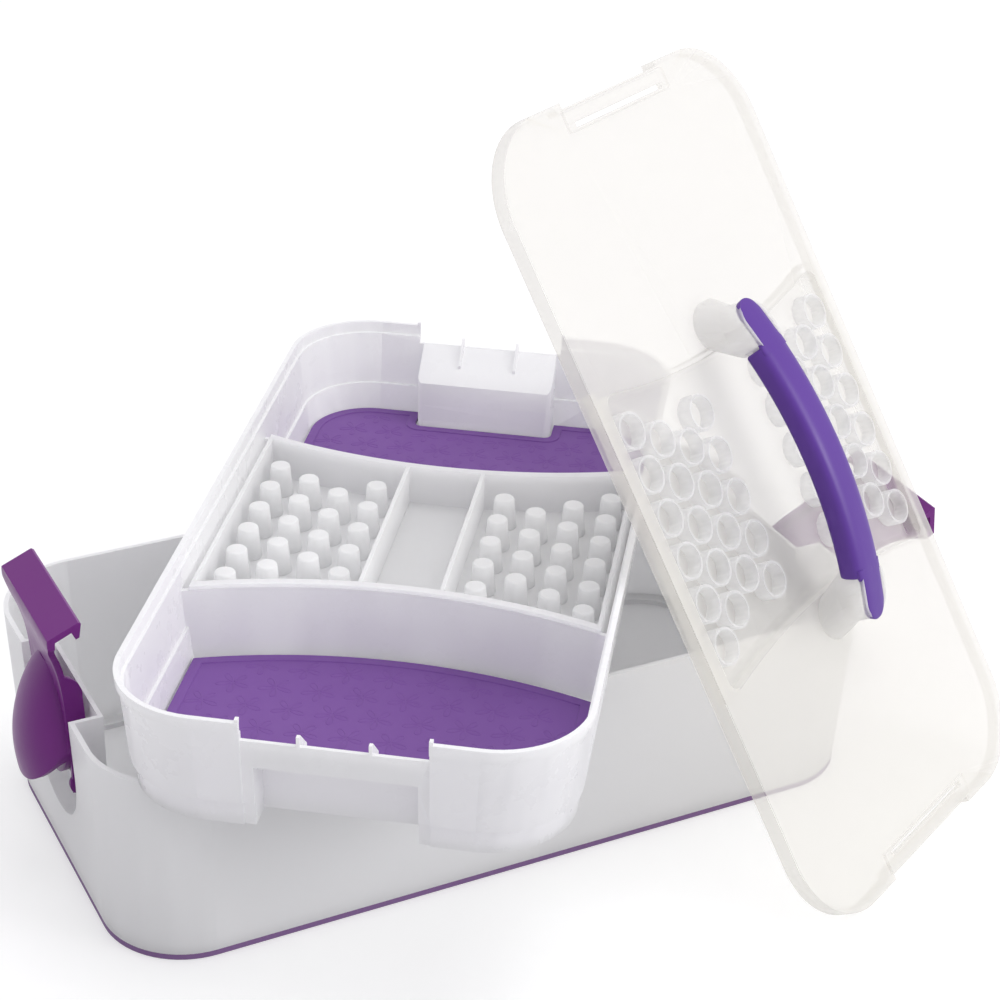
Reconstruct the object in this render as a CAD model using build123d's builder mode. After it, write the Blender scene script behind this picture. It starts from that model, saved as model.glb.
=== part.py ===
from build123d import *
import math
import os

# A carry case for small bottles and nozzles, shown unpacked: the open base, the tray laid across
# its rim and the lid leaning on its corner. Millimetres, Z up, X along the base's long side.
# The origin is the centre of the base's underside.

# Outline shared by base, tray and lid
case_length = 410.0
case_width = 211.0
corner_radius = 43.0
wall = 2.4

# Base
base_height = 103.0
base_draft = 4.0
base_floor = 2.4
foot_height = 3.0
foot_width = 7.0
recess_half_width = 37.3
recess_depth = 14.0
recess_arc_height = 70.0
liner_wall = 2.2

# Latch
pivot_inset = 7.0
pivot_height = 60.0
hinge_pin_radius = 2.0
hinge_clearance = 0.05
pin_seat = 1.4
pin_seat_gap = 0.02
latch_half_width = 36.6
latch_neck = 27.3
latch_wall = 3.0
ear_wall = 2.5
ear_reach = 6.0
ear_heel = 3.4
paddle_out = 19.5
paddle_up = 50.0
paddle_centre_out = 3.0
paddle_centre_up = 8.0
paddle_arc_up = 24.0
left_open = 3.0
right_open = 64.0

# Tray
tray_height = 56.5
tray_nest_height = 12.5
tray_nest_inset = 6.3
tray_foot_inset = 6.8
tray_waist_inset = 4.4
tray_band_inset = 1.5
tray_band_height = 5.5
tray_floor = 3.0
tray_rest_gap = 0.3
tray_yaw = 54.4
tray_x = -11.2
tray_y = -5.8
ledge_drop = 36.0
rim_step_drop = 6.0
bow_foot = 61.5
bow_sagitta = 18.0
bow_chord = 100.0
bow_wall = 2.2
bow_top_drop = 16.0
block_inset = 25.0
block_half_width = 38.0
block_corner = 5.0
end_recess_half_width = 35.5
block_lip_drop = 25.0
sill_drop = 10.0
sill_inset = 2.0
notch_half_width = 40.5
end_recess_depth = 20.0
apron_height = 14.0
sill_rib_offset = 15.5

# Peg insert and mats
insert_top_drop = 13.7
insert_floor_drop = 34.4
insert_wall = 2.0
insert_gap = 0.25
insert_side_gap = 1.4
divider_offset = 19.6
lattice_pitch = 22.2
column_pitch = 17.74
column_inset = 2.4
peg_foot_radius = 6.5
peg_top_radius = 5.0
peg_top_drop = 18.1
peg_wall = 1.2
peg_shoulder = 1.0
mat_thickness = 2.0
mat_border = 5.0
mat_border_rise = 0.6
mat_gap = 1.0

# Lid
lid_plate = 2.0
lid_skirt = 8.5
recess_wall = 2.0
lid_recess_depth = 9.0
lid_recess_inset = 8.5
lid_recess_half_length = 65.5
lid_bow_sagitta = 12.0
recess_corner = 6.0
recess_cove = 4.0
ring_outer = 9.2
ring_wall = 1.2
ring_drop = 1.0
lid_notch_inset = 3.0
latch_bar_inset = 4.0
latch_bar_width = 11.0
latch_bar_half_width = 43.0
latch_bar_rise = 1.4
slot_inset = 12.3
slot_width = 2.4
slot_half_width = 37.2
lid_skirt_wall = 2.2
lid_lean = 58.1
lid_heading = 117.8
lid_along = -91.9
lid_gap = 5.4

# Handle
grip_width = 22.0
grip_thickness = 14.0
grip_rise = 30.0
grip_sag = 14.0
grip_half_length = 60.0
tongue_half_length = 83.0
tongue_width = 17.0
tongue_thickness = 3.0
core_width = 12.0
core_thickness = 6.0
boss_outer = 90.0
boss_inner = 66.0
boss_half_width = 15.0
leg_outer = 84.0
leg_inner = 57.5
leg_half_width = 10.4
leg_height = 12.0
leg_rim = 0.4

half_length = case_length / 2
half_width = case_width / 2
nest_floor_drop = tray_height - tray_floor
block_front = half_length - block_inset
sill_reach = half_length - sill_inset
insert_half_width = half_width - tray_waist_inset - wall - insert_side_gap
outer_column = insert_half_width - insert_wall - peg_foot_radius - column_inset
lid_recess_half_width = half_width - lid_recess_inset
lid_notch_reach = half_length - lid_notch_inset
latch_bar_outer = half_length - latch_bar_inset
latch_bar_inner = latch_bar_outer - latch_bar_width
slot_centre = half_length - slot_inset
bow_radius = (bow_chord ** 2 + bow_sagitta ** 2) / (2 * bow_sagitta)
bow_centre = bow_foot + bow_radius
lid_bow_radius = (bow_chord ** 2 + lid_bow_sagitta ** 2) / (2 * lid_bow_sagitta)
lid_bow_centre = lid_recess_half_length + lid_bow_radius
lattice = []
for column, count in enumerate((6, 5, 4, 5)):
    for index in range(count):
        along = ((count - 1) / 2 - index) * lattice_pitch
        across = outer_column - column * column_pitch
        lattice.append((along, across))
        lattice.append((along, -across))

os.makedirs("parts", exist_ok=True)

# The base: a drafted open box with a pocket in each short end for its latch
with BuildPart() as base_hollow:
    with BuildSketch(Plane.XY.offset(foot_height + base_floor)):
        RectangleRounded(case_length - 2 * (base_draft + wall), case_width - 2 * (base_draft + wall),
                         corner_radius - wall - 1.5)
    with BuildSketch(Plane.XY.offset(base_height + 1)):
        RectangleRounded(case_length - 2 * wall, case_width - 2 * wall, corner_radius - wall)
    loft(ruled=True)
    with BuildSketch(Plane.XY.offset(base_floor)):
        RectangleRounded(case_length - 2 * (base_draft + foot_width + wall),
                         case_width - 2 * (base_draft + foot_width + wall),
                         corner_radius - foot_width - wall - 1.5)
    extrude(amount=foot_height + 1)
    for side in (-1, 1):
        liner_at = Plane(origin=(side * (half_length - recess_depth - liner_wall), 0, 0),
                         x_dir=(0, side, 0), z_dir=(side, 0, 0))
        with BuildSketch(liner_at) as liner_face:
            with Locations((0, recess_arc_height)):
                Circle(recess_half_width + liner_wall)
            with Locations((0, (recess_arc_height + base_height) / 2 + 1)):
                Rectangle(2 * (recess_half_width + liner_wall), base_height - recess_arc_height + 4)
        extrude(amount=recess_depth + liner_wall + 5, mode=Mode.SUBTRACT)

with BuildPart() as base_shell:
    with BuildSketch(Plane.XY.offset(foot_height)):
        RectangleRounded(case_length - 2 * base_draft, case_width - 2 * base_draft, corner_radius - 1.5)
    with BuildSketch(Plane.XY.offset(base_height)):
        RectangleRounded(case_length, case_width, corner_radius)
    loft(ruled=True)
    with BuildSketch(Plane.XY):
        RectangleRounded(case_length - 2 * (base_draft + foot_width),
                         case_width - 2 * (base_draft + foot_width),
                         corner_radius - foot_width - 1.5)
    extrude(amount=foot_height)
    add(base_hollow.part, mode=Mode.SUBTRACT)
    for side in (-1, 1):
        pocket_at = Plane(origin=(side * (half_length - recess_depth), 0, 0), x_dir=(0, side, 0),
                          z_dir=(side, 0, 0))
        with BuildSketch(pocket_at):
            with Locations((0, recess_arc_height)):
                Circle(recess_half_width)
            with Locations((0, (recess_arc_height + base_height) / 2 + 1)):
                Rectangle(2 * recess_half_width, base_height - recess_arc_height + 4)
        extrude(amount=recess_depth + 5, mode=Mode.SUBTRACT)
        pin_at = Plane(origin=(side * (half_length - pivot_inset), 0, pivot_height), x_dir=(1, 0, 0),
                       z_dir=(0, 1, 0))
        with BuildSketch(pin_at):
            Circle(hinge_pin_radius + pin_seat_gap)
        extrude(amount=recess_half_width + pin_seat, both=True, mode=Mode.SUBTRACT)

with BuildPart() as foot_band:
    with BuildSketch(Plane.XY):
        RectangleRounded(case_length - 2 * base_draft, case_width - 2 * base_draft, corner_radius - 1.5)
        RectangleRounded(case_length - 2 * (base_draft + foot_width),
                         case_width - 2 * (base_draft + foot_width),
                         corner_radius - foot_width - 1.5, mode=Mode.SUBTRACT)
    extrude(amount=foot_height)

base_shell.part.label = "base_shell"
foot_band.part.label = "foot_band"
export_step(base_shell.part, "parts/base_shell.step")
export_step(foot_band.part, "parts/foot_band.step")

# The latches: a wide hook plate over a narrow lever that ends in a bulging finger paddle,
# hung on a pin across the pocket. Both are one shape, each stood at its own opening.
for side, opened, word in ((-1, left_open, "left"), (1, right_open, "right")):
    turn = math.radians(opened)
    pivot = Vector(side * (half_length - pivot_inset), 0, pivot_height)
    out = Vector(side * math.cos(turn), 0, -math.sin(turn))
    up = Vector(side * math.sin(turn), 0, math.cos(turn))
    profile_at = Plane(origin=pivot, x_dir=out, z_dir=(0, -side, 0))
    front_at = Plane(origin=pivot - out * 30, x_dir=(0, side, 0), z_dir=out)

    with BuildPart() as latch:
        with BuildSketch(profile_at):
            with BuildLine():
                Spline((8.9, 88.4), (9.1, 83.0), (6.4, 72.0), (3.9, 59.3), (3.1, 45.0), (3.3, 30.0),
                       (5.2, 12.0),
                       (6.2, -6.0))
                Line((6.2, -6.0), (6.2 - latch_wall, -6.0))
                Spline((6.2 - latch_wall, -6.0), (2.2, 12.0), (0.3, 30.0), (0.1, 45.0), (0.9, 59.3),
                       (3.3, 72.0),
                       (5.6, 80.0), (5.4, 86.4))
                Polyline((5.4, 86.4), (-2.5, 89.4), (-4.2, 85.4), (-5.9, 86.0), (-7.4, 93.0), (-6.2, 93.9),
                         (8.9, 88.4))
            make_face()
        extrude(amount=latch_half_width, both=True)
        with BuildSketch(front_at):
            with BuildLine():
                Polyline((latch_half_width, 96), (-latch_half_width, 96), (-latch_half_width, 83))
                Spline((-latch_half_width, 83), (-latch_neck - 4.0, 77.0), (-latch_neck - 0.6, 68.0),
                       (-latch_neck, 60.0))
                Line((-latch_neck, 60.0), (-latch_neck, paddle_arc_up))
                ThreePointArc((-latch_neck, paddle_arc_up), (0, paddle_arc_up - latch_neck),
                              (latch_neck, paddle_arc_up))
                Line((latch_neck, paddle_arc_up), (latch_neck, 60.0))
                Spline((latch_neck, 60.0), (latch_neck + 0.6, 68.0), (latch_neck + 4.0, 77.0),
                       (latch_half_width, 83))
                Line((latch_half_width, 83), (latch_half_width, 96))
            make_face()
        extrude(amount=60, mode=Mode.INTERSECT)
        for level in (latch_neck - ear_wall, -latch_neck):
            with BuildSketch(profile_at.offset(level)):
                with BuildLine():
                    ThreePointArc((-ear_reach, 48.0), (2.0 - ear_reach, 56.5), (1.0, 60.5))
                    Polyline((1.0, 60.5), (2.6, 60.5), (1.4, 45.0), (1.6, 30.0), (3.4, 12.0), (4.4, -4.0),
                             (-ear_heel, -2.0), (-ear_heel, 12.0), (-ear_reach, 34.0), (-ear_reach, 48.0))
                make_face()
                Circle(hinge_pin_radius + 3.4)
            extrude(amount=ear_wall)
        with BuildSketch(profile_at):
            Circle(hinge_pin_radius + hinge_clearance)
        extrude(amount=latch_neck + 1, both=True, mode=Mode.SUBTRACT)

    with BuildPart() as paddle:
        for skin in (0.0, latch_wall - 0.6):
            for height in (-9.0, 5.0, 20.0, 34.0, 46.0, 53.0, 57.2):
                spread = math.sqrt(1 - ((height - paddle_centre_up) / (paddle_up + 0.6)) ** 2)
                swell = spread ** 2 if height > paddle_centre_up else spread
                level_at = Plane(origin=pivot + out * paddle_centre_out + up * (height - 1.4 * skin * (height > 30)),
                                 x_dir=out, z_dir=up)
                with BuildSketch(level_at):
                    Ellipse(max(paddle_out * swell - skin, 0.8), max(latch_neck * spread - skin, 1.0))
            if skin:
                loft(mode=Mode.SUBTRACT)
            else:
                loft()
        with BuildSketch(front_at.offset(30 + paddle_centre_out)):
            with Locations((0, paddle_arc_up)):
                Circle(latch_neck)
            with Locations((0, paddle_arc_up + 25)):
                Rectangle(2 * latch_neck, 50)
        extrude(amount=40, mode=Mode.INTERSECT)

    with BuildPart() as lever:
        add(latch.part)
        add(paddle.part)
    lever.part.label = "latch_" + word
    export_step(lever.part, "parts/latch_" + word + ".step")
    print(word, lever.part.volume, len(lever.part.solids()))

    with BuildPart() as hinge_pin:
        with BuildSketch(profile_at):
            Circle(hinge_pin_radius)
        extrude(amount=recess_half_width + pin_seat - 0.2, both=True)
    hinge_pin.part.label = "hinge_pin_" + word
    export_step(hinge_pin.part, "parts/hinge_pin_" + word + ".step")

# The tray, level on the base's rim and turned across it. Heights in it are drops below its rim.
tray_turn = math.radians(tray_yaw)
tray_at = Plane(origin=(tray_x, tray_y, base_height + tray_rest_gap + tray_height),
                x_dir=(math.cos(tray_turn), math.sin(tray_turn), 0), z_dir=(0, 0, 1))

end_block = {}
for side in (-1, 1):
    block_at = Plane(origin=tray_at.origin, x_dir=tray_at.x_dir * side, z_dir=-tray_at.y_dir * side)
    with BuildPart() as block:
        with BuildSketch(block_at):
            with BuildLine():
                Polyline((half_length + 5, -sill_drop), (sill_reach - wall, -sill_drop),
                         (block_front, -block_lip_drop), (block_front - 1.0, -nest_floor_drop - 1),
                         (half_length + 5, -nest_floor_drop - 1), (half_length + 5, -sill_drop))
            make_face()
        extrude(amount=block_half_width, both=True)
        with BuildSketch(tray_at.offset(-tray_height)):
            with Locations((side * (block_front - 1 + 25), 0)):
                RectangleRounded(50, 2 * block_half_width, block_corner)
        extrude(amount=tray_height, mode=Mode.INTERSECT)
    end_block[side] = block

with BuildPart() as tray_hollow:
    for low, low_inset, high, high_inset in (
            (-nest_floor_drop, tray_foot_inset + wall, -ledge_drop, tray_waist_inset + wall + 0.8),
            (-ledge_drop, tray_waist_inset + wall - 0.6, -rim_step_drop, tray_band_inset + wall + 0.4),
            (-rim_step_drop, tray_band_inset + wall - 1.0, 1.0, wall)):
        with BuildSketch(tray_at.offset(low)):
            RectangleRounded(case_length - 2 * low_inset, case_width - 2 * low_inset,
                             corner_radius - low_inset)
        with BuildSketch(tray_at.offset(high)):
            RectangleRounded(case_length - 2 * high_inset, case_width - 2 * high_inset,
                             corner_radius - high_inset)
        loft(ruled=True)
    with BuildSketch(tray_at.offset(-nest_floor_drop)):
        for side in (-1, 1):
            with Locations((side * bow_centre, 0)):
                Circle(bow_radius + bow_wall / 2)
                Circle(bow_radius - bow_wall / 2, mode=Mode.SUBTRACT)
    extrude(amount=nest_floor_drop - bow_top_drop, mode=Mode.SUBTRACT)
    for side in (-1, 1):
        add(end_block[side].part, mode=Mode.SUBTRACT)

with BuildPart() as tray_shell:
    for low, low_inset, high, high_inset in (
            (-tray_height, tray_foot_inset, tray_nest_height - tray_height, tray_nest_inset),
            (tray_nest_height - tray_height, tray_waist_inset, -tray_band_height, tray_band_inset),
            (-tray_band_height, 0.4, 0.0, 0.0)):
        with BuildSketch(tray_at.offset(low)):
            RectangleRounded(case_length - 2 * low_inset, case_width - 2 * low_inset,
                             corner_radius - low_inset / 2)
        with BuildSketch(tray_at.offset(high)):
            RectangleRounded(case_length - 2 * high_inset, case_width - 2 * high_inset,
                             corner_radius - high_inset / 2)
        loft(ruled=True)
    add(tray_hollow.part, mode=Mode.SUBTRACT)
    for side in (-1, 1):
        end_at = Plane(origin=tray_at.from_local_coords(Vector(0, 0, 0)),
                       x_dir=tray_at.x_dir * side, z_dir=-tray_at.y_dir * side)
        with BuildSketch(end_at):
            with BuildLine():
                Polyline((sill_reach - 3.2, 4), (sill_reach - 3.2, -sill_drop),
                         (half_length + 5, -sill_drop),
                         (half_length + 5, 4), (sill_reach - 3.2, 4))
            make_face()
            with BuildLine():
                Polyline((sill_reach - 0.6, -sill_drop),
                         (half_length - tray_waist_inset - 1.0, tray_nest_height - tray_height),
                         (half_length - tray_nest_inset - 1.0, tray_nest_height - tray_height),
                         (half_length - tray_foot_inset - 1.0, -tray_height - 2),
                         (half_length + 5, -tray_height - 2),
                         (half_length + 5, -sill_drop), (sill_reach - 0.6, -sill_drop))
            make_face()
        extrude(amount=notch_half_width, both=True, mode=Mode.SUBTRACT)
        with BuildSketch(end_at):
            with BuildLine():
                Polyline((sill_reach - wall, -sill_drop - apron_height),
                         (sill_reach - wall - 0.2, -sill_drop - 3.5),
                         (half_length - end_recess_depth, -block_lip_drop - 1.2),
                         (half_length - end_recess_depth, -tray_height + tray_nest_height),
                         (half_length - end_recess_depth - 1.0, -tray_height + tray_nest_height),
                         (half_length - end_recess_depth - 1.0, -tray_height - 2),
                         (half_length + 5, -tray_height - 2), (half_length + 5, -sill_drop - apron_height),
                         (sill_reach - wall, -sill_drop - apron_height))
            make_face()
        extrude(amount=end_recess_half_width, both=True, mode=Mode.SUBTRACT)
        for offset in (-sill_rib_offset, sill_rib_offset):
            with BuildSketch(end_at.offset(offset - 0.7)):
                with BuildLine():
                    Polyline((sill_reach - 0.2, -sill_drop - 1), (sill_reach - 0.2, -sill_drop + 5),
                             (sill_reach - 2.4, -sill_drop + 5), (sill_reach - 14, -sill_drop - 6.6),
                             (sill_reach - 14, -sill_drop - 9.4), (sill_reach - 0.2, -sill_drop - 1))
                make_face()
            extrude(amount=1.4)
        for offset in (-notch_half_width - 1.6, notch_half_width):
            with BuildSketch(end_at.offset(offset)):
                with Locations((half_length - 1.6, 0.4)):
                    Rectangle(2.6, 2.6)
            extrude(amount=1.6)
print("tray", tray_shell.part.volume, len(tray_shell.part.solids()))
tray_shell.part.label = "tray_shell"
export_step(tray_shell.part, "parts/tray_shell.step")

# The peg insert drops between the bowed walls and laps over their tops
with BuildPart() as peg_insert:
    with BuildSketch(tray_at.offset(-insert_floor_drop - insert_wall)):
        Rectangle(2 * (bow_foot + bow_sagitta + 12), 2 * insert_half_width)
        for side in (-1, 1):
            with Locations((side * bow_centre, 0)):
                Circle(bow_radius + bow_wall / 2 + insert_gap, mode=Mode.SUBTRACT)
    extrude(amount=insert_floor_drop + insert_wall - insert_top_drop)
    with BuildSketch(tray_at.offset(-bow_top_drop + insert_gap)):
        Rectangle(2 * (bow_foot + bow_sagitta + 12), 2 * insert_half_width)
        for side in (-1, 1):
            with Locations((side * bow_centre, 0)):
                Circle(bow_radius - bow_wall / 2 - insert_gap, mode=Mode.SUBTRACT)
    extrude(amount=bow_top_drop - insert_gap - insert_top_drop)
    with BuildSketch(tray_at.offset(-insert_floor_drop)):
        Rectangle(2 * (bow_foot + bow_sagitta + 12), 2 * (insert_half_width - insert_wall))
        for side in (-1, 1):
            with Locations((side * bow_centre, 0)):
                Circle(bow_radius + bow_wall / 2 + insert_gap + insert_wall, mode=Mode.SUBTRACT)
        for offset in (-divider_offset, divider_offset):
            with Locations((0, offset)):
                Rectangle(2 * (bow_foot + bow_sagitta + 12), insert_wall, mode=Mode.SUBTRACT)
    extrude(amount=insert_floor_drop, mode=Mode.SUBTRACT)
    with BuildSketch(tray_at.offset(-insert_floor_drop - insert_wall)):
        with Locations(*lattice):
            Circle(peg_foot_radius - peg_wall)
    extrude(amount=insert_wall, mode=Mode.SUBTRACT)
peg_insert.part.label = "peg_insert"
export_step(peg_insert.part, "parts/peg_insert.step")

# Forty hollow tapered pegs stand on the insert's floor, each over its own hole
peg_taper = math.degrees(math.atan2(peg_foot_radius - peg_top_radius, insert_floor_drop - peg_top_drop))
with BuildPart() as insert_pegs:
    with BuildSketch(tray_at.offset(-insert_floor_drop)):
        with Locations(*lattice):
            Circle(peg_foot_radius)
    extrude(amount=insert_floor_drop - peg_top_drop, taper=peg_taper)
    fillet(insert_pegs.faces().sort_by(Axis.Z)[-len(lattice):].edges(), radius=peg_shoulder)
    with BuildSketch(tray_at.offset(-insert_floor_drop)):
        with Locations(*lattice):
            Circle(peg_foot_radius - peg_wall)
    extrude(amount=insert_floor_drop - peg_top_drop - peg_wall, mode=Mode.SUBTRACT, taper=peg_taper)
insert_pegs.part.label = "insert_pegs"
export_step(insert_pegs.part, "parts/insert_pegs.step")
print("insert", peg_insert.part.volume, len(peg_insert.part.solids()), len(insert_pegs.part.solids()))

# Two soft mats on the floors of the end compartments, each with a raised border
for side, word in ((-1, "front"), (1, "back")):
    with BuildPart() as mat:
        for step, base_drop, thick in ((0.0, nest_floor_drop, mat_thickness),
                                       (mat_border, nest_floor_drop - mat_thickness, mat_border_rise)):
            rounded = tray_foot_inset + wall + mat_gap
            with BuildSketch(tray_at.offset(-base_drop)):
                RectangleRounded(case_length - 2 * rounded, case_width - 2 * rounded,
                                 corner_radius - rounded)
                with Locations((side * bow_centre, 0)):
                    Circle(bow_radius - bow_wall / 2 - 4, mode=Mode.INTERSECT)
                with Locations((side * (block_front + 30), 0)):
                    RectangleRounded(2 * (30 + mat_gap + 1), 2 * (block_half_width + mat_gap), 4,
                                     mode=Mode.SUBTRACT)
                if step:
                    with BuildSketch(Plane.XY, mode=Mode.PRIVATE) as field:
                        rounded = tray_foot_inset + wall + mat_gap + step
                        RectangleRounded(case_length - 2 * rounded, case_width - 2 * rounded,
                                         corner_radius - rounded)
                        with Locations((side * bow_centre, 0)):
                            Circle(bow_radius - bow_wall / 2 - 4 - step, mode=Mode.INTERSECT)
                        with Locations((side * (block_front + 30), 0)):
                            RectangleRounded(2 * (30 + mat_gap + 1 + step),
                                             2 * (block_half_width + mat_gap + step),
                                             8, mode=Mode.SUBTRACT)
                    add(field.sketch, mode=Mode.SUBTRACT)
            extrude(amount=thick)
    print("mat", word, mat.part.volume, len(mat.part.solids()))
    mat.part.label = "mat_" + word
    export_step(mat.part, "parts/mat_" + word + ".step")

# The lid, stood on its lower short edge and leaned on the base's front right corner.
# Heights in it are measured outwards from its outer face.
lean = math.radians(lid_lean)
heading = math.radians(lid_heading)
lid_up = Vector(math.cos(lean) * math.cos(heading), math.cos(lean) * math.sin(heading), math.sin(lean))
lid_out = Vector(-math.sin(lean) * math.cos(heading), -math.sin(lean) * math.sin(heading), math.cos(lean))
lid_across = lid_out.cross(lid_up)
lid_level = Vector(-math.cos(heading), -math.sin(heading), 0)
lid_origin_height = half_length * math.sin(lean) + lid_skirt * math.cos(lean)
rim_corner = Vector(half_length - corner_radius, corner_radius - half_width, base_height)
lid_face_distance = rim_corner.dot(lid_out) + corner_radius * math.sin(lean) + lid_plate + lid_gap
lid_reach = (lid_face_distance - lid_origin_height * math.cos(lean)) / math.sin(lean)
lid_origin = lid_across * lid_along + lid_level * lid_reach + Vector(0, 0, lid_origin_height)
lid_at = Plane(origin=lid_origin, x_dir=lid_up, z_dir=lid_out)
print("lid origin", lid_origin)

with BuildPart() as lid_hollow:
    with BuildSketch(lid_at.offset(-lid_recess_depth)):
        Rectangle(2 * (lid_recess_half_length + lid_bow_sagitta + 3), 2 * lid_recess_half_width)
        for side in (-1, 1):
            with Locations((side * lid_bow_centre, 0)):
                Circle(lid_bow_radius, mode=Mode.SUBTRACT)
    extrude(amount=lid_recess_depth + 1)
    fillet(lid_hollow.edges().filter_by(Axis(lid_origin, lid_out)), radius=recess_corner)
    fillet(lid_hollow.faces().sort_by(Axis(lid_origin, lid_out))[0].edges(), radius=recess_cove)

with BuildPart() as lid_shell:
    for low, high, inset, what in ((-lid_skirt, 0.0, 0.0, Mode.ADD),
                                   (-lid_skirt, -lid_plate, lid_skirt_wall, Mode.SUBTRACT)):
        with BuildSketch(lid_at.offset(low)):
            RectangleRounded(case_length - 2 * inset, case_width - 2 * inset, corner_radius - inset)
            for side in (-1, 1):
                with Locations((side * (lid_notch_reach - inset + 10), 0)):
                    Rectangle(20, 2 * (notch_half_width + inset), mode=Mode.SUBTRACT)
        extrude(amount=high - low, mode=what)
    with BuildSketch(lid_at.offset(-lid_recess_depth - recess_wall)):
        Rectangle(2 * (lid_recess_half_length + lid_bow_sagitta + 5),
                  2 * (lid_recess_half_width + recess_wall))
        for side in (-1, 1):
            with Locations((side * lid_bow_centre, 0)):
                Circle(lid_bow_radius - recess_wall, mode=Mode.SUBTRACT)
    extrude(amount=lid_recess_depth + recess_wall - 0.5)
    add(lid_hollow.part, mode=Mode.SUBTRACT)
    for side in (-1, 1):
        with BuildSketch(lid_at.offset(-0.5)):
            with Locations((side * (latch_bar_inner + latch_bar_outer) / 2, 0)):
                Rectangle(latch_bar_outer - latch_bar_inner, 2 * latch_bar_half_width)
            with Locations((side * (lid_notch_reach + 10), 0)):
                Rectangle(20, 2 * notch_half_width, mode=Mode.SUBTRACT)
        extrude(amount=latch_bar_rise + 0.5)
        with BuildSketch(lid_at.offset(-lid_plate - 1)):
            with Locations((side * slot_centre, 0)):
                Rectangle(slot_width, 2 * slot_half_width)
        extrude(amount=lid_plate + latch_bar_rise + 2, mode=Mode.SUBTRACT)
print("lid", lid_shell.part.volume, len(lid_shell.part.solids()))
lid_shell.part.label = "lid_shell"
export_step(lid_shell.part, "parts/lid_shell.step")

# Forty open rings stand on the floor of the recess, up to its mouth
with BuildPart() as lid_rings:
    with BuildSketch(lid_at.offset(-lid_recess_depth)):
        with Locations(*lattice):
            Circle(ring_outer)
        with Locations(*lattice):
            Circle(ring_outer - ring_wall, mode=Mode.SUBTRACT)
    extrude(amount=lid_recess_depth - ring_drop)
    add(lid_shell.part, mode=Mode.SUBTRACT)
print("rings", lid_rings.part.volume, len(lid_rings.part.solids()))
lid_rings.part.label = "lid_rings"
export_step(lid_rings.part, "parts/lid_rings.step")

# The fixed arched handle: a clear frame with a leg at each end, and a soft grip wrapped round it
arch_at = Plane(origin=lid_origin, x_dir=lid_up, z_dir=-lid_across)
arch_radius = (tongue_half_length ** 2 + grip_sag ** 2) / (2 * grip_sag)
arch_centre = grip_rise - arch_radius

with BuildPart() as handle_core:
    with BuildSketch(arch_at):
        with Locations((0, arch_centre)):
            Circle(arch_radius + core_thickness / 2)
            Circle(arch_radius - core_thickness / 2, mode=Mode.SUBTRACT)
        with Locations((0, grip_rise)):
            Rectangle(2 * leg_inner + 8, 60, mode=Mode.INTERSECT)
    extrude(amount=core_width / 2, both=True)

with BuildPart() as handle_grip:
    with BuildSketch(arch_at):
        with Locations((0, arch_centre)):
            Circle(arch_radius + grip_thickness / 2)
            Circle(arch_radius + grip_thickness / 2 - tongue_thickness, mode=Mode.SUBTRACT)
        with Locations((0, grip_rise)):
            Rectangle(2 * tongue_half_length + 4, 60, mode=Mode.INTERSECT)
    extrude(amount=tongue_width / 2, both=True)
    with BuildSketch(lid_at):
        RectangleRounded(2 * tongue_half_length, tongue_width, tongue_width / 2 - 0.1)
    extrude(amount=80, mode=Mode.INTERSECT)
    with BuildSketch(arch_at):
        with Locations((0, arch_centre)):
            Circle(arch_radius + grip_thickness / 2)
            Circle(arch_radius - grip_thickness / 2, mode=Mode.SUBTRACT)
        with Locations((0, grip_rise)):
            Rectangle(2 * grip_half_length, 60, mode=Mode.INTERSECT)
    extrude(amount=grip_width / 2, both=True)
    add(handle_core.part, mode=Mode.SUBTRACT)

with BuildPart() as handle_frame:
    add(handle_core.part)
    for side in (-1, 1):
        with BuildSketch(lid_at):
            with Locations((side * (boss_outer + boss_inner) / 2, 0)):
                RectangleRounded(boss_outer - boss_inner, 2 * boss_half_width,
                                 (boss_outer - boss_inner) / 2 - 0.1)
        with BuildSketch(lid_at.offset(leg_height)):
            with Locations((side * (leg_outer + leg_inner) / 2, 0)):
                RectangleRounded(leg_outer - leg_inner, 2 * leg_half_width, leg_half_width - 0.1)
        loft(ruled=True)
        with BuildSketch(lid_at.offset(leg_height)):
            with Locations((side * (leg_outer + leg_inner) / 2, 0)):
                RectangleRounded(leg_outer - leg_inner, 2 * leg_half_width, leg_half_width - 0.1)
        extrude(amount=grip_rise + grip_thickness / 2 - leg_height)
    with BuildSketch(arch_at):
        with Locations((0, grip_rise + 30)):
            Rectangle(2 * (boss_outer + 10), 100)
        with Locations((0, arch_centre)):
            Circle(arch_radius + grip_thickness / 2 - leg_rim, mode=Mode.SUBTRACT)
    extrude(amount=2 * boss_half_width, both=True, mode=Mode.SUBTRACT)
    add(handle_grip.part, mode=Mode.SUBTRACT)
for name, piece in (("handle_frame", handle_frame), ("handle_grip", handle_grip)):
    print(name, piece.part.volume, len(piece.part.solids()))
    piece.part.label = name
    export_step(piece.part, "parts/" + name + ".step")
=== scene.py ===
import bpy
import bmesh
import math
from mathutils import Matrix, Vector


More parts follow.
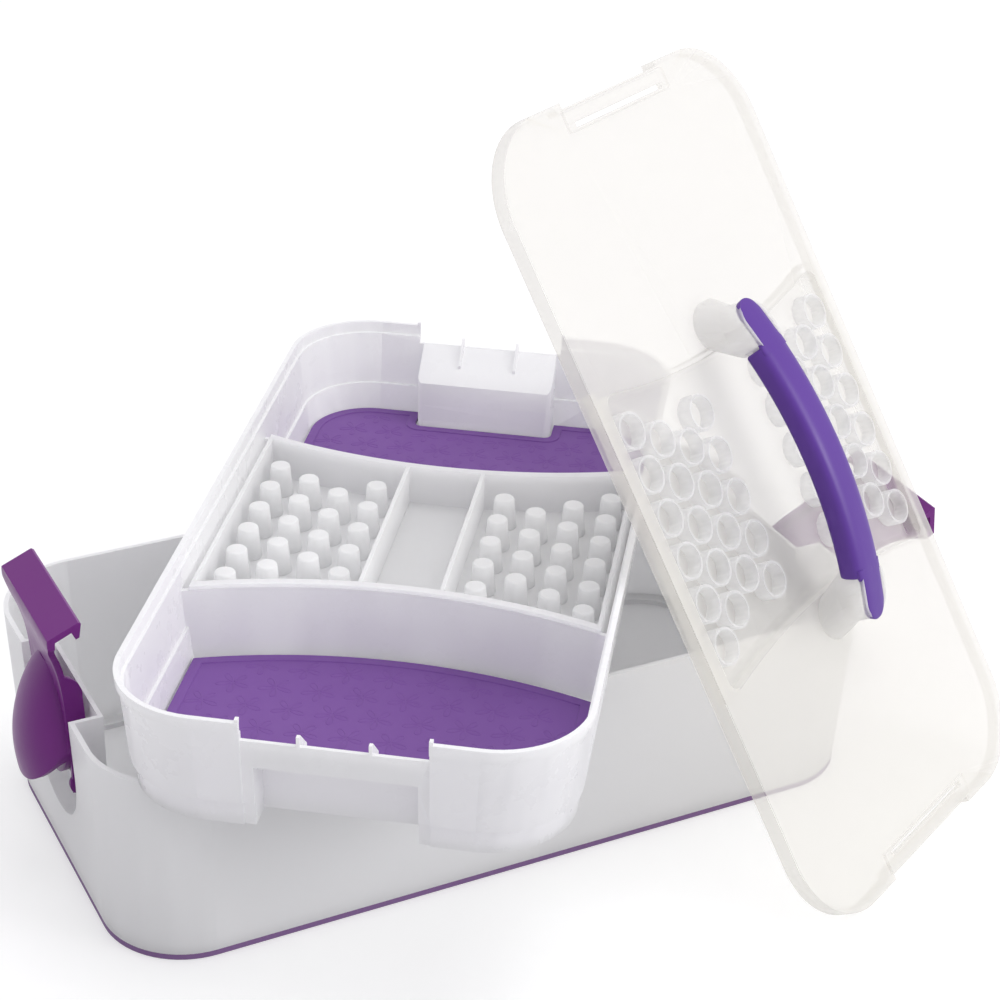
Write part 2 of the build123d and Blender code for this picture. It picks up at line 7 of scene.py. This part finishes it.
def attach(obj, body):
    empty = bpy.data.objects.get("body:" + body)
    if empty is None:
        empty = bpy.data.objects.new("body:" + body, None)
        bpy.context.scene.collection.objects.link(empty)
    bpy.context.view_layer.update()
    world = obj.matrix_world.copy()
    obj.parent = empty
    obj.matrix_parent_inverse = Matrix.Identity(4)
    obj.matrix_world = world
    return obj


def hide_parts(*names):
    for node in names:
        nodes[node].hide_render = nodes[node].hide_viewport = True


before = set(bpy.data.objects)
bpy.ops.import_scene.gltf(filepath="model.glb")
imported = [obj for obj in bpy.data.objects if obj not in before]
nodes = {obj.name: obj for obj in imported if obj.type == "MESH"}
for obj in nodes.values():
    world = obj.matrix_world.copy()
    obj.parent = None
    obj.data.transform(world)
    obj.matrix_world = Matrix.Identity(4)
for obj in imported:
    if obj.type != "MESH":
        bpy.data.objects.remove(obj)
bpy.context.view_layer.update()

scene = bpy.context.scene

# Places shared with the solid model, in metres and radians
tray_x = -0.0112
tray_y = -0.0058
tray_yaw = math.radians(54.4)
mat_field_height = 0.1083
lid_lean = math.radians(58.1)
lid_heading = math.radians(117.8)
lid_centre = Vector((0.144509, -0.0770383, 0.178531))

# Camera: its heading, its dip and its roll in radians, its place in metres
cam_azimuth = 0.478
cam_elevation = 0.502
cam_roll = -0.031
cam_place = Vector((-0.4365, -0.9070, 0.7083))
cam_sensor = 36.0
cam_lens = 83.51
cam_far = 20.0

# Light: strengths of the surroundings, and place, size in metres and watts of each lamp
seen_strength = 1.0
lit_strength = 0.75
lit_colour = (0.975, 0.965, 1.0, 1)
white = (1, 1, 1, 1)
lamp_aim = Vector((0, 0, 0.1))
top_place, top_size, top_power = (0.5, -0.1, 2.3), 1.8, 17.0
front_place, front_size, front_power = (1.8, -1.9, 1.3), 1.4, 30.0

# Floor: half its side, and how far it lies under the object
floor_reach = 8
floor_height = -0.0004
paper_dark = (0.58, 0.58, 0.58, 1)
paper_pale = (0.62, 0.62, 0.62, 1)
paper_grain_scale = 6.0
paper_roughness = 0.9
paper_shine = 0.1
paper_glow_strength = 0.46

# Moulded plastic: scales of its three noises, and how they act on gloss and relief
cloud_scale = 14.0
flow_scale = 60.0
gloss_from, gloss_to = 0.3, 0.7
gloss_floor = 0.02
grain_strength = 0.6
rim_blend = 0.3

# Edges of the solids, rounded where two faces meet at more than this angle
weld_gap = 0.00001
bevel_steps = 2
bevel_angle = math.radians(35.0)

# Field of a mat, in the tray's own frame
field_reach = 0.1898
field_half_width = 0.0903
field_corner = 0.0278
bow_centre = 0.3483
field_bow_radius = 0.2767
notch_front = 0.173
notch_half = 0.044
field_margin = 0.0004

# Flowers on the mats
flower_pitch = 0.0205
flower_row = 0.0172
first_row_reach = 0.082
flower_rows = 8
flower_columns = 5
petal_count = 5
petal_start = 0.0010
petal_length = 0.0072
petal_half_width = 0.0017
petal_root = 0.55
petal_swell = 0.45
petal_steps = 16
line_half_width = 0.00035
line_height = 0.00028
line_sink = 0.00005

# Grip: a sleeve round the arch, and a tongue over each leg
arch_radius = 0.253036
arch_low = 0.030 - arch_radius
grip_half_width = 0.0110
grip_half_thick = 0.0070
grip_end = 0.0600
grip_end_round = 0.0012
grip_crown = 0.0015
sleeve_power = 0.62
sleeve_corners = 48
sleeve_sections = 40
tongue_end = 0.0830
tongue_half_width = 0.0085
tongue_thick = 0.0030
tongue_edge = 0.0011
tongue_corners = 8
tongue_under = 0.98
tip_steps = 16
tip_half_width = 0.0004
tip_shrink = 0.0008
root_start = -0.0040
root_flare = ((root_start, 0.0016), (0.0, 0.0014), (0.0008, 0.0007), (0.0020, 0.0002), (0.0040, 0.0))
grip_split = math.radians(50)


def tray_point(x, y, z):
    return Vector((tray_x + x * math.cos(tray_yaw) - y * math.sin(tray_yaw),
                   tray_y + x * math.sin(tray_yaw) + y * math.cos(tray_yaw), z))


forward = Vector((math.cos(cam_elevation) * math.sin(cam_azimuth),
                  math.cos(cam_elevation) * math.cos(cam_azimuth),
                  -math.sin(cam_elevation)))
level_right = Vector((math.cos(cam_azimuth), -math.sin(cam_azimuth), 0))
level_down = forward.cross(level_right)
right = math.cos(cam_roll) * level_right + math.sin(cam_roll) * level_down
down = -math.sin(cam_roll) * level_right + math.cos(cam_roll) * level_down
camera_data = bpy.data.cameras.new("camera")
camera_data.sensor_width = cam_sensor
camera_data.lens = cam_lens
camera_data.clip_end = cam_far
camera = bpy.data.objects.new("camera", camera_data)
turn = Matrix((right, -down, -forward)).transposed()
camera.matrix_world = Matrix.Translation(cam_place) @ turn.to_4x4()
scene.collection.objects.link(camera)
scene.camera = camera


def seen_ray(tree):
    """1 on a ray that the camera sees straight, in a reflection or through clear plastic, else 0."""
    path = tree.nodes.new("ShaderNodeLightPath")
    either = tree.nodes.new("ShaderNodeMath"); either.operation = "MAXIMUM"
    third = tree.nodes.new("ShaderNodeMath"); third.operation = "MAXIMUM"
    tree.links.new(path.outputs["Is Camera Ray"], either.inputs[0])
    tree.links.new(path.outputs["Is Glossy Ray"], either.inputs[1])
    tree.links.new(either.outputs[0], third.inputs[0])
    tree.links.new(path.outputs["Is Transmission Ray"], third.inputs[1])
    return third.outputs[0]


# World: white where it is seen, softer where it lights
world = bpy.data.worlds.new("studio")
scene.world = world
world.use_nodes = True
sky = world.node_tree
sky.nodes.clear()
sky_out = sky.nodes.new("ShaderNodeOutputWorld")
seen = sky.nodes.new("ShaderNodeBackground")
lit = sky.nodes.new("ShaderNodeBackground")
seen.inputs["Color"].default_value = white
seen.inputs["Strength"].default_value = seen_strength
lit.inputs["Color"].default_value = lit_colour
lit.inputs["Strength"].default_value = lit_strength
pick = sky.nodes.new("ShaderNodeMixShader")
sky.links.new(seen_ray(sky), pick.inputs[0])
sky.links.new(lit.outputs[0], pick.inputs[1])
sky.links.new(seen.outputs[0], pick.inputs[2])
sky.links.new(pick.outputs[0], sky_out.inputs["Surface"])


def lamp(name, place, size, power):
    data = bpy.data.lights.new(name, "AREA")
    data.shape = "DISK"
    data.size = size
    data.energy = power
    item = bpy.data.objects.new(name, data)
    item.location = place
    item.rotation_euler = (lamp_aim - Vector(place)).to_track_quat("-Z", "Y").to_euler()
    scene.collection.objects.link(item)


lamp("top", top_place, top_size, top_power)
lamp("front", front_place, front_size, front_power)

floor_mesh = bpy.data.meshes.new("floor")
floor_corners = [(x * floor_reach, y * floor_reach, floor_height)
                 for x, y in ((-1, -1), (1, -1), (1, 1), (-1, 1))]
floor_mesh.from_pydata(floor_corners, [], [(0, 1, 2, 3)])
floor = bpy.data.objects.new("floor", floor_mesh)
scene.collection.objects.link(floor)


def base_nodes(name):
    made = bpy.data.materials.new(name)
    made.use_nodes = True
    tree = made.node_tree
    shader = tree.nodes["Principled BSDF"]
    return made, tree, shader


def noise(tree, coords, scale, detail=3.0, rough=0.5):
    item = tree.nodes.new("ShaderNodeTexNoise")
    item.inputs["Scale"].default_value = scale
    item.inputs["Detail"].default_value = detail
    item.inputs["Roughness"].default_value = rough
    tree.links.new(coords, item.inputs["Vector"])
    return item


def moulded(name, colour, rough, grain=2200.0, grain_depth=0.00001, cloud=0.02, sheen=0.0, specular=0.5,
            uneven=0.05):
    """Opaque moulded plastic: a faint clouding, an uneven gloss and a fine grain."""
    made, tree, shader = base_nodes(name)
    links = tree.links
    coords = tree.nodes.new("ShaderNodeTexCoord").outputs["Object"]
    broad = noise(tree, coords, cloud_scale, 2.0)
    fine = noise(tree, coords, grain, 2.0)
    flow = noise(tree, coords, flow_scale, 4.0, 0.6)
    tint = tree.nodes.new("ShaderNodeMix"); tint.data_type = "RGBA"
    tint.inputs["A"].default_value = (*(channel * (1 - cloud) for channel in colour), 1)
    tint.inputs["B"].default_value = (*(min(channel * (1 + cloud), 1) for channel in colour), 1)
    links.new(broad.outputs["Fac"], tint.inputs["Factor"])
    links.new(tint.outputs["Result"], shader.inputs["Base Color"])
    gloss = tree.nodes.new("ShaderNodeMapRange")
    gloss.inputs["From Min"].default_value = gloss_from
    gloss.inputs["From Max"].default_value = gloss_to
    gloss.inputs["To Min"].default_value = max(rough - uneven, gloss_floor)
    gloss.inputs["To Max"].default_value = rough + uneven
    links.new(flow.outputs["Fac"], gloss.inputs["Value"])
    links.new(gloss.outputs["Result"], shader.inputs["Roughness"])
    bump = tree.nodes.new("ShaderNodeBump")
    bump.inputs["Strength"].default_value = grain_strength
    bump.inputs["Distance"].default_value = grain_depth
    links.new(fine.outputs["Fac"], bump.inputs["Height"])
    links.new(bump.outputs["Normal"], shader.inputs["Normal"])
    shader.inputs["Specular IOR Level"].default_value = specular
    shader.inputs["Sheen Weight"].default_value = sheen
    return made


def milky(name, colour, clear, rough, edge_clear, specular=0.35, translucent=0.45,
          passed=(0.985, 0.985, 0.98)):
    """Translucent moulded plastic: part of the light goes straight through, the rest scatters."""
    made = moulded(name, colour, rough, cloud=0.008, specular=specular, uneven=0.02)
    tree = made.node_tree
    links = tree.links
    shader = tree.nodes["Principled BSDF"]
    final = tree.nodes["Material Output"]
    through = tree.nodes.new("ShaderNodeBsdfTransparent")
    through.inputs["Color"].default_value = (*passed, 1)
    glow = tree.nodes.new("ShaderNodeBsdfTranslucent")
    glow.inputs["Color"].default_value = (*colour, 1)
    scatter = tree.nodes.new("ShaderNodeMixShader")
    scatter.inputs["Fac"].default_value = translucent
    links.new(shader.outputs[0], scatter.inputs[1])
    links.new(glow.outputs[0], scatter.inputs[2])
    rim = tree.nodes.new("ShaderNodeLayerWeight")
    rim.inputs["Blend"].default_value = rim_blend
    share = tree.nodes.new("ShaderNodeMapRange")
    share.inputs["To Min"].default_value = clear
    share.inputs["To Max"].default_value = edge_clear
    links.new(rim.outputs["Facing"], share.inputs["Value"])
    both = tree.nodes.new("ShaderNodeMixShader")
    links.new(share.outputs["Result"], both.inputs["Fac"])
    links.new(scatter.outputs[0], both.inputs[1])
    links.new(through.outputs[0], both.inputs[2])
    links.new(both.outputs[0], final.inputs["Surface"])
    return made


white_case = milky("white_case", (0.955, 0.955, 0.962), 0.0, 0.36, 0.0, specular=0.3, translucent=0.36)
white_tray = milky("white_tray", (0.955, 0.955, 0.962), 0.0, 0.28, 0.0, specular=0.3, translucent=0.36)
clear_lid = milky("clear_lid", (0.93, 0.92, 0.895), 0.80, 0.18, 0.06, passed=(0.975, 0.97, 0.955))
clear_rings = milky("clear_rings", (0.92, 0.92, 0.93), 0.74, 0.14, 0.2)
clear_insert = milky("clear_insert", (0.985, 0.985, 0.99), 0.14, 0.2, 0.05, translucent=0.6)
clear_handle = milky("clear_handle", (0.93, 0.925, 0.91), 0.55, 0.15, 0.25)
purple_latch = moulded("purple_latch", (0.15, 0.016, 0.185), 0.34, cloud=0.05, specular=0.25)
purple_band = moulded("purple_band", (0.20, 0.105, 0.26), 0.6, cloud=0.06)
purple_mat = moulded("purple_mat", (0.165, 0.062, 0.29), 0.55, grain=1500.0, grain_depth=0.00004,
                     cloud=0.05, sheen=0.1, specular=0.35)
purple_grip = moulded("purple_grip", (0.085, 0.022, 0.26), 0.42, grain=1800.0, grain_depth=0.00003,
                      cloud=0.05, specular=0.45)
steel = moulded("pin_steel", (0.55, 0.55, 0.57), 0.3)
steel.node_tree.nodes["Principled BSDF"].inputs["Metallic"].default_value = 1.0

# The floor takes the object's shadow, and reads as white paper where it is seen
paper, paper_tree, paper_shader = base_nodes("floor_paper")
paper_coords = paper_tree.nodes.new("ShaderNodeTexCoord").outputs["Object"]
paper_grain = noise(paper_tree, paper_coords, paper_grain_scale)
paper_tint = paper_tree.nodes.new("ShaderNodeMix"); paper_tint.data_type = "RGBA"
paper_tint.inputs["A"].default_value = paper_dark
paper_tint.inputs["B"].default_value = paper_pale
paper_tree.links.new(paper_grain.outputs["Fac"], paper_tint.inputs["Factor"])
paper_tree.links.new(paper_tint.outputs["Result"], paper_shader.inputs["Base Color"])
paper_shader.inputs["Roughness"].default_value = paper_roughness
paper_shader.inputs["Specular IOR Level"].default_value = paper_shine
paper_glow = paper_tree.nodes.new("ShaderNodeEmission")
paper_glow.inputs["Color"].default_value = white
paper_much = paper_tree.nodes.new("ShaderNodeMath"); paper_much.operation = "MULTIPLY"
paper_much.inputs[1].default_value = paper_glow_strength
paper_tree.links.new(seen_ray(paper_tree), paper_much.inputs[0])
paper_tree.links.new(paper_much.outputs[0], paper_glow.inputs["Strength"])
paper_sum = paper_tree.nodes.new("ShaderNodeAddShader")
paper_tree.links.new(paper_shader.outputs[0], paper_sum.inputs[0])
paper_tree.links.new(paper_glow.outputs[0], paper_sum.inputs[1])
paper_tree.links.new(paper_sum.outputs[0], paper_tree.nodes["Material Output"].inputs["Surface"])
floor_mesh.materials.append(paper)


def finish_node(name, material, bevel=0.0):
    item = nodes[name]
    item.data.materials.clear()
    item.data.materials.append(material)
    if bevel:
        weld = item.modifiers.new("weld", "WELD")
        weld.merge_threshold = weld_gap
        edge = item.modifiers.new("edge", "BEVEL")
        edge.width = bevel
        edge.segments = bevel_steps
        edge.limit_method = "ANGLE"
        edge.angle_limit = bevel_angle
        edge.harden_normals = True
        edge.use_clamp_overlap = True


finish_node("base_shell", white_case, 0.0006)
finish_node("foot_band", purple_band)
finish_node("hinge_pin_left", steel)
finish_node("hinge_pin_right", steel)
finish_node("latch_left", purple_latch, 0.0008)
finish_node("latch_right", purple_latch, 0.0008)
finish_node("tray_shell", white_tray, 0.0006)
finish_node("peg_insert", clear_insert, 0.0004)
finish_node("insert_pegs", clear_insert)
finish_node("mat_front", purple_mat, 0.0003)
finish_node("mat_back", purple_mat, 0.0003)
finish_node("lid_shell", clear_lid, 0.0005)
finish_node("lid_rings", clear_rings, 0.0003)
finish_node("handle_frame", clear_handle, 0.0008)


def new_piece(name, bm, material, body):
    bmesh.ops.recalc_face_normals(bm, faces=bm.faces)
    mesh = bpy.data.meshes.new(name)
    bm.to_mesh(mesh)
    bm.free()
    mesh.materials.append(material)
    for face in mesh.polygons:
        face.use_smooth = True
    item = bpy.data.objects.new(name, mesh)
    scene.collection.objects.link(item)
    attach(item, body)
    return item


def on_field(x, y):
    """Whether a point in the tray's frame lies on a mat's field, clear of its border."""
    reach = abs(x)
    side = abs(y)
    if reach > field_reach - field_margin or side > field_half_width - field_margin:
        return False
    corner_x = reach - (field_reach - field_corner)
    corner_y = side - (field_half_width - field_corner)
    if corner_x > 0 and corner_y > 0 and math.hypot(corner_x, corner_y) > field_corner - field_margin:
        return False
    if math.hypot(reach - bow_centre, side) > field_bow_radius - field_margin:
        return False
    return not (reach > notch_front - field_margin and side < notch_half + field_margin)


def petal_outline(cx, cy, angle):
    points = []
    for k in range(petal_steps):
        t = 2 * math.pi * k / petal_steps
        along = petal_start + petal_length * (1 - math.cos(t)) / 2
        across = petal_half_width * math.sin(t) * (petal_root + petal_swell * (1 - math.cos(t)) / 2)
        points.append((cx + along * math.cos(angle) - across * math.sin(angle),
                       cy + along * math.sin(angle) + across * math.cos(angle)))
    return points


def raised_line(bm, line):
    """A low ridge on the mat's field, along a closed line."""
    rings = []
    count = len(line)
    for k in range(count):
        (x0, y0), (x1, y1) = line[k - 1], line[(k + 1) % count]
        run = math.hypot(x1 - x0, y1 - y0)
        nx, ny = (y1 - y0) / run, (x0 - x1) / run
        px, py = line[k]
        rings.append([bm.verts.new(tray_point(px + nx * offset, py + ny * offset, mat_field_height + lift))
                      for offset, lift in ((-line_half_width, -line_sink), (0, line_height),
                                           (line_half_width, -line_sink))])
    for k in range(count):
        a, b = rings[k], rings[(k + 1) % count]
        bm.faces.new((a[0], b[0], b[1], a[1]))
        bm.faces.new((a[1], b[1], b[2], a[2]))


# Flowers moulded on the mats: five petals, each a low raised line round a pointed oval
for side, word in ((-1, "front"), (1, "back")):
    bm = bmesh.new()
    for row in range(flower_rows):
        x = side * (first_row_reach + row * flower_row)
        for column in range(-flower_columns, flower_columns + 1):
            y = (column + 0.5 * (row % 2)) * flower_pitch
            for petal in range(petal_count):
                line = petal_outline(x, y, math.pi + petal * math.radians(360 / petal_count))
                if all(on_field(px, py) for px, py in line):
                    raised_line(bm, line)
    new_piece("flowers_" + word, bm, purple_mat, "tray")

# The grip: a soft sleeve with rounded edges, and a tongue over each leg of the handle
lid_up = Vector((math.cos(lid_lean) * math.cos(lid_heading), math.cos(lid_lean) * math.sin(lid_heading),
                 math.sin(lid_lean)))
lid_out = Vector((-math.sin(lid_lean) * math.cos(lid_heading), -math.sin(lid_lean) * math.sin(lid_heading),
                  math.cos(lid_lean)))
lid_across = lid_out.cross(lid_up)


def grip_point(s, w, r):
    """s along the arch, w across it, r outwards from its middle line."""
    turn_by = math.asin(s / arch_radius)
    reach = arch_radius + r
    return lid_centre + lid_up * (reach * math.sin(turn_by)) + lid_across * w \
        + lid_out * (arch_low + reach * math.cos(turn_by))


def crown(w):
    return grip_crown * (w / grip_half_width) ** 2 * min(abs(w) / grip_half_width, 1.0)


def sleeve_section(shrink):
    points = []
    half_w = grip_half_width - shrink
    half_t = grip_half_thick - shrink
    for k in range(sleeve_corners):
        t = 2 * math.pi * k / sleeve_corners
        c, d = math.cos(t), math.sin(t)
        points.append((half_w * math.copysign(abs(c) ** sleeve_power, c),
                       half_t * math.copysign(abs(d) ** sleeve_power, d)))
    return points


def tongue_section(half_w, shrink):
    top = []
    for k in range(-tongue_corners, tongue_corners + 1):
        w = half_w * math.sin(math.pi / 2 * k / tongue_corners)
        edge = tongue_edge * (abs(k) / tongue_corners) ** 6
        top.append((w, grip_half_thick - crown(w) - edge - shrink))
    low = grip_half_thick - tongue_thick + shrink
    return top + [(half_w * tongue_under, low), (0.0, low), (-half_w * tongue_under, low)]


def loft(bm, sections):
    loops = [[bm.verts.new(grip_point(s, w, r)) for w, r in section] for s, section in sections]
    for a, b in zip(loops, loops[1:]):
        count = len(a)
        for k in range(count):
            bm.faces.new((a[k], a[(k + 1) % count], b[(k + 1) % count], b[k]))
    bm.faces.new(loops[0])
    bm.faces.new(list(reversed(loops[-1])))


bm = bmesh.new()
rounded_end = []
for degrees in (0, 22, 45, 67, 90):
    angle = math.radians(degrees)
    rounded_end.append((-grip_end + grip_end_round * (1 - math.cos(angle)),
                        sleeve_section(grip_end_round * (1 - math.sin(angle)))))
straight = 2 * (grip_end - grip_end_round)
sleeve = rounded_end + [(-grip_end + grip_end_round + straight * k / sleeve_sections, sleeve_section(0.0))
                        for k in range(1, sleeve_sections)]
sleeve += [(-s, section) for s, section in reversed(rounded_end)]
loft(bm, sleeve)
for side in (-1, 1):
    stations = [(grip_end + past, tongue_half_width + flare, 0.0) for past, flare in root_flare]
    for k in range(tip_steps + 1):
        angle = math.radians(90 * k / tip_steps)
        stations.append((tongue_end - tongue_half_width + tongue_half_width * math.sin(angle),
                         max(tongue_half_width * math.cos(angle), tip_half_width),
                         tip_shrink * (k / tip_steps) ** 8))
    loft(bm, [(side * s, tongue_section(half_w, shrink)) for s, half_w, shrink in stations])
grip = new_piece("grip", bm, purple_grip, "lid")
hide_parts("handle_grip")
edge = grip.modifiers.new("edge", "EDGE_SPLIT")
edge.split_angle = grip_split

scene.view_settings.view_transform = "Standard"
